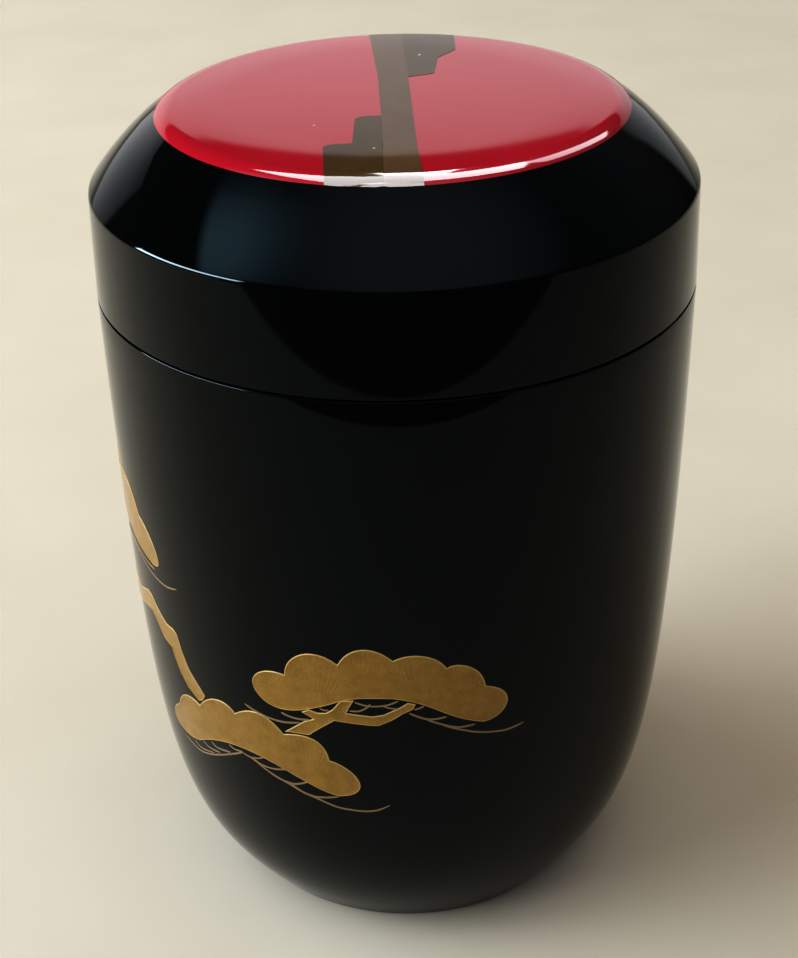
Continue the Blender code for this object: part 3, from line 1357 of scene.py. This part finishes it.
@dataclass(frozen=True)
class Softbox:
    """A soft light: its bearing from the back, its height angle and its brightness.

    It faces the caddy, or straight down where it hangs overhead, with its length turned by the slant.
    """

    name: str
    bearing: float
    elevation: float
    distance: float
    width: float
    height: float
    radiance: float
    colour: Colour = (1.0, 1.0, 1.0)
    mirrored: bool = True
    shining: bool = True
    overhead: bool = False
    slant: float = 0.0
    aim_height: float = 0.05

    def place(self) -> bpy.types.Object:
        """Hang the light.

        Returns:
            The light's object.
        """
        data = bpy.data.lights.new(self.name, "AREA")
        data.shape = "RECTANGLE"
        data.size = self.width
        data.size_y = self.height
        data.color = self.colour
        data.energy = self.radiance * math.pi * self.width * self.height
        light = bpy.data.objects.new(self.name, data)
        turn = math.radians(self.bearing)
        rise = math.radians(self.elevation)
        towards = Vector((math.sin(turn) * math.cos(rise), math.cos(turn) * math.cos(rise), math.sin(rise)))
        light.location = Vector((0, 0, self.aim_height)) + towards * self.distance
        light.rotation_euler = towards.to_track_quat("Z", "Y").to_euler()
        if self.overhead:
            light.rotation_euler = (0, 0, -math.radians(self.slant))
        light.visible_camera = False
        light.visible_glossy = self.mirrored
        light.visible_diffuse = self.shining
        bpy.context.scene.collection.objects.link(light)
        return light


def overhead_window(
    name: str,
    bearing: float,
    elevation: float,
    distance: float,
    size: Pair,
    slant: float = 0.0,
    radiance: float = 11.0,
    colour: Colour = (0.98, 0.97, 1.0),
) -> Softbox:
    """A window in the ceiling that the polish mirrors, but that doesn't light the room.

    Args:
        name: the light's name.
        bearing: its bearing from the back, in degrees.
        elevation: its height angle, in degrees.
        distance: how far off it hangs.
        size: its width and length.
        slant: how far it is turned, in degrees.
        radiance: its brightness.
        colour: its colour.

    Returns:
        The window's light.
    """
    width, height = size
    return Softbox(
        name,
        bearing,
        elevation,
        distance,
        width,
        height,
        radiance,
        colour,
        shining=False,
        overhead=True,
        slant=slant,
    )


def stage_piece(name: str, shape: bmesh.types.BMesh, material: bpy.types.Material) -> bpy.types.Object:
    """Turn a shape into a piece of the set, which isn't part of the caddy.

    Args:
        name: the piece's name.
        shape: its mesh, which is used up.
        material: its finish.

    Returns:
        The new piece.
    """
    mesh = bpy.data.meshes.new(name)
    shape.to_mesh(mesh)
    shape.free()
    mesh.materials.append(material)
    piece = bpy.data.objects.new(name, mesh)
    bpy.context.scene.collection.objects.link(piece)
    return piece


@dataclass(frozen=True)
class Card:
    """A low dark card that only the polish mirrors: a painted shade in the reflections, standing for the
    shade in front of the caddy, from one place on the floor to another.
    """

    name: str
    start: Pair
    end: Pair
    height: float
    colour: Colour = (0.14, 0.14, 0.14)
    clear: float = 0.0005

    def place(self) -> None:
        """Stand the card, out of the camera's sight."""
        shape = bmesh.new()
        foot = [(*self.start, self.clear), (*self.end, self.clear)]
        head = [(*self.end, self.height), (*self.start, self.height)]
        shape.faces.new([shape.verts.new(corner) for corner in (*foot, *head)])
        shading = Shading(self.name)
        shading.surface(Base_Color=solid(self.colour), Roughness=0.9, Specular_IOR_Level=0.1)
        piece = stage_piece(self.name, shape, shading.material)
        # The card is seen only in the polish, as painted shade: it casts no shadow and lights nothing.
        piece.visible_camera = False
        piece.visible_shadow = False
        piece.visible_diffuse = False


@dataclass
class Studio:
    """The floor, the dark card that paints shade into the reflections, the lights, the surroundings and the
    camera.
    """

    floor_size: float = 8.0
    floor_clouds: float = 30.0
    # A dark card mirrored by the front of the polish: painted shade in the reflections.
    card: Card = Card("front_shade_card", (-0.3, -0.163), (0.22, -0.163), 0.074)
    floor_colour: Colour = (0.52, 0.492, 0.42)
    floor_shade: Colour = (0.5, 0.47, 0.395)
    wall_low: Colour = (0.8, 0.8, 0.82)
    wall_high: Colour = (0.5, 0.5, 0.52)
    wall_bearing: float = -6.5
    wall_edge: float = 42.5
    wall_top: float = 20.5
    wall_fade: float = 0.085
    wall_top_blur: float = 0.006
    wall_side_blur: float = 0.06
    dimming_start: float = 0.45
    dimming: float = 0.6
    back_glow: Colour = (0.03, 0.03, 0.03)
    dim_glow: Colour = (0.17, 0.17, 0.178)
    front_glow: Colour = (0.7, 0.7, 0.74)
    window_glow: Colour = (1.2, 1.8, 2.1)
    window_falloff: float = 3.0
    sill_blur: float = 0.03
    jamb_blur: float = 0.012
    right_way: Triple = (0.5, -0.1, 0.86)
    front_way: Triple = (0.1, -0.5, 0.86)
    window_way: Triple = (-0.724, -0.102, 0.682)
    sill_way: Triple = (0.503, -0.564, 0.655)
    jamb_way: Triple = (-0.939, 0.172, -0.298)
    lens: float = 65.3
    look_down: float = 0.5231
    roll: float = -0.026
    eye: Vector = Vector((-0.000325, -0.18062, 0.15272))
    lights: tuple[Softbox, ...] = (
        Softbox("key", -84.0, 43.0, 1.2, 1.0, 1.0, 2.4, (1.0, 1.03, 1.1), mirrored=False),
        Softbox("left_fill", -101.0, 20.0, 1.1, 1.0, 0.5, 6.6, mirrored=False),
        Softbox("top_fill", 0.0, 78.0, 1.4, 2.0, 2.0, 0.55, (1.0, 0.75, 0.42), mirrored=False),
        overhead_window("roof_window", 3.7, 66.7, 1.0885, (0.6, 0.84), 72.0),
        overhead_window("near_window", 0.0, 87.7, 1.001, (0.22, 0.14)),
        overhead_window("far_window", 2.0, 41.0, 1.524, (0.16, 0.8)),
        overhead_window("side_window", 37.7, 39.2, 1.582, (0.4, 1.0), 35.0, 5.0, (0.98, 0.95, 1.0)),
        Softbox("left_gleam", -99.5, 17.5, 0.9, 0.78, 0.2, 28.0, (0.86, 0.98, 1.1), shining=False),
    )

    def floor(self) -> None:
        """Lay a plain pale floor."""
        shape = bmesh.new()
        bmesh.ops.create_grid(shape, x_segments=1, y_segments=1, size=self.floor_size / 2)
        shading = Shading("pale floor")
        cloud = shading.ramp(shading.noise(self.floor_clouds, 4.0), 0.35, 0.65)
        shading.surface(
            Base_Color=shading.blend(cloud, solid(self.floor_colour), solid(self.floor_shade)),
            Roughness=0.95,
            Specular_IOR_Level=0.0,
        )
        stage_piece("floor", shape, shading.material)

    def surroundings(self) -> None:
        """Give the room a pale wall low down at the back, a pale window on the left, and a dim rest."""
        world = bpy.data.worlds.new("studio")
        world.use_nodes = True
        nodes = Nodes(world.node_tree)
        way = nodes.node("ShaderNodeTexCoord").outputs["Generated"]
        split = nodes.node("ShaderNodeSeparateXYZ", {0: way})
        height = split.outputs["Z"]
        turn = nodes.maths("ARCTAN2", split.outputs["X"], split.outputs["Y"])
        aside = nodes.maths("ABSOLUTE", nodes.maths("SUBTRACT", turn, math.radians(self.wall_bearing)))
        top = math.sin(math.radians(self.wall_top))
        edge = math.radians(self.wall_edge)
        rise = nodes.ramp(height, top - self.wall_fade, top)
        wall = nodes.blend(rise, solid(self.wall_low), solid(self.wall_high))
        above = nodes.ramp(height, top - self.wall_top_blur, top + self.wall_top_blur)
        beside = nodes.ramp(aside, edge - self.wall_side_blur, edge + self.wall_side_blur)
        fading = nodes.between(aside, (edge * self.dimming_start, 0.0), (edge, self.dimming))
        hidden = nodes.maths("MAXIMUM", nodes.maths("MAXIMUM", above, beside), fading)
        right = nodes.ramp(nodes.along(way, self.right_way), 0.35, 0.75)
        rest = nodes.blend(right, solid(self.back_glow), solid(self.dim_glow))
        front = nodes.ramp(nodes.along(way, self.front_way), 0.7, 0.96)
        upper = nodes.blend(front, rest, solid(self.front_glow))
        room = nodes.blend(hidden, wall, upper)
        near = nodes.ramp(nodes.along(way, self.window_way), 0.829, 0.9986)
        sill = nodes.ramp(nodes.along(way, self.sill_way), -self.sill_blur, self.sill_blur)
        jamb = nodes.ramp(nodes.along(way, self.jamb_way), -self.jamb_blur, self.jamb_blur)
        glow = nodes.maths("POWER", near, self.window_falloff)
        window = nodes.maths("MULTIPLY", glow, nodes.maths("MULTIPLY", sill, jamb))
        background = nodes.tree.nodes["Background"].inputs["Color"]
        nodes.feed(background, nodes.blend(window, room, solid(self.window_glow)))
        bpy.context.scene.world = world

    def camera(self) -> None:
        """Set the camera where the photographer stood, a little turned about its own line of sight."""
        data = bpy.data.cameras.new("camera")
        data.lens = self.lens
        data.sensor_width = 36.0
        data.sensor_fit = "AUTO"
        data.clip_start = 0.01
        ahead = Vector((0, math.cos(self.look_down), -math.sin(self.look_down)))
        right = Vector((1, 0, 0))
        up = right.cross(ahead)
        side = right * math.cos(self.roll) + up * math.sin(self.roll)
        top = up * math.cos(self.roll) - right * math.sin(self.roll)
        turned = Matrix((side, top, -ahead)).transposed()
        camera = bpy.data.objects.new("camera", data)
        camera.matrix_world = Matrix.Translation(self.eye) @ turned.to_4x4()
        bpy.context.scene.collection.objects.link(camera)
        bpy.context.scene.camera = camera

    def build(self) -> None:
        """Set up the whole studio."""
        self.floor()
        self.card.place()
        self.surroundings()
        for light in self.lights:
            light.place()
        self.camera()
        bpy.context.scene.view_settings.view_transform = "Standard"
        bpy.context.scene.view_settings.look = "High Contrast"


def main() -> None:
    """Build the caddy's pieces in order, then the studio round them."""
    black = BLACK.material()
    container = Container()
    lid = Lid()
    container.build(black)
    lid.build(black, RED.material())
    Band(lid).build(STRIP_FINISH.material(), STEP_FINISH.material())
    plain_gold = GoldPowder("branch gold", PINE_GOLD.colour, PINE_GOLD.worn, PINE_GOLD.rim, engraved=False)
    Pine(container).build(PINE_GOLD.material(), plain_gold.material(), LINE_GOLD.material())
    Studio().build()


if __name__ == "__main__":
    main()
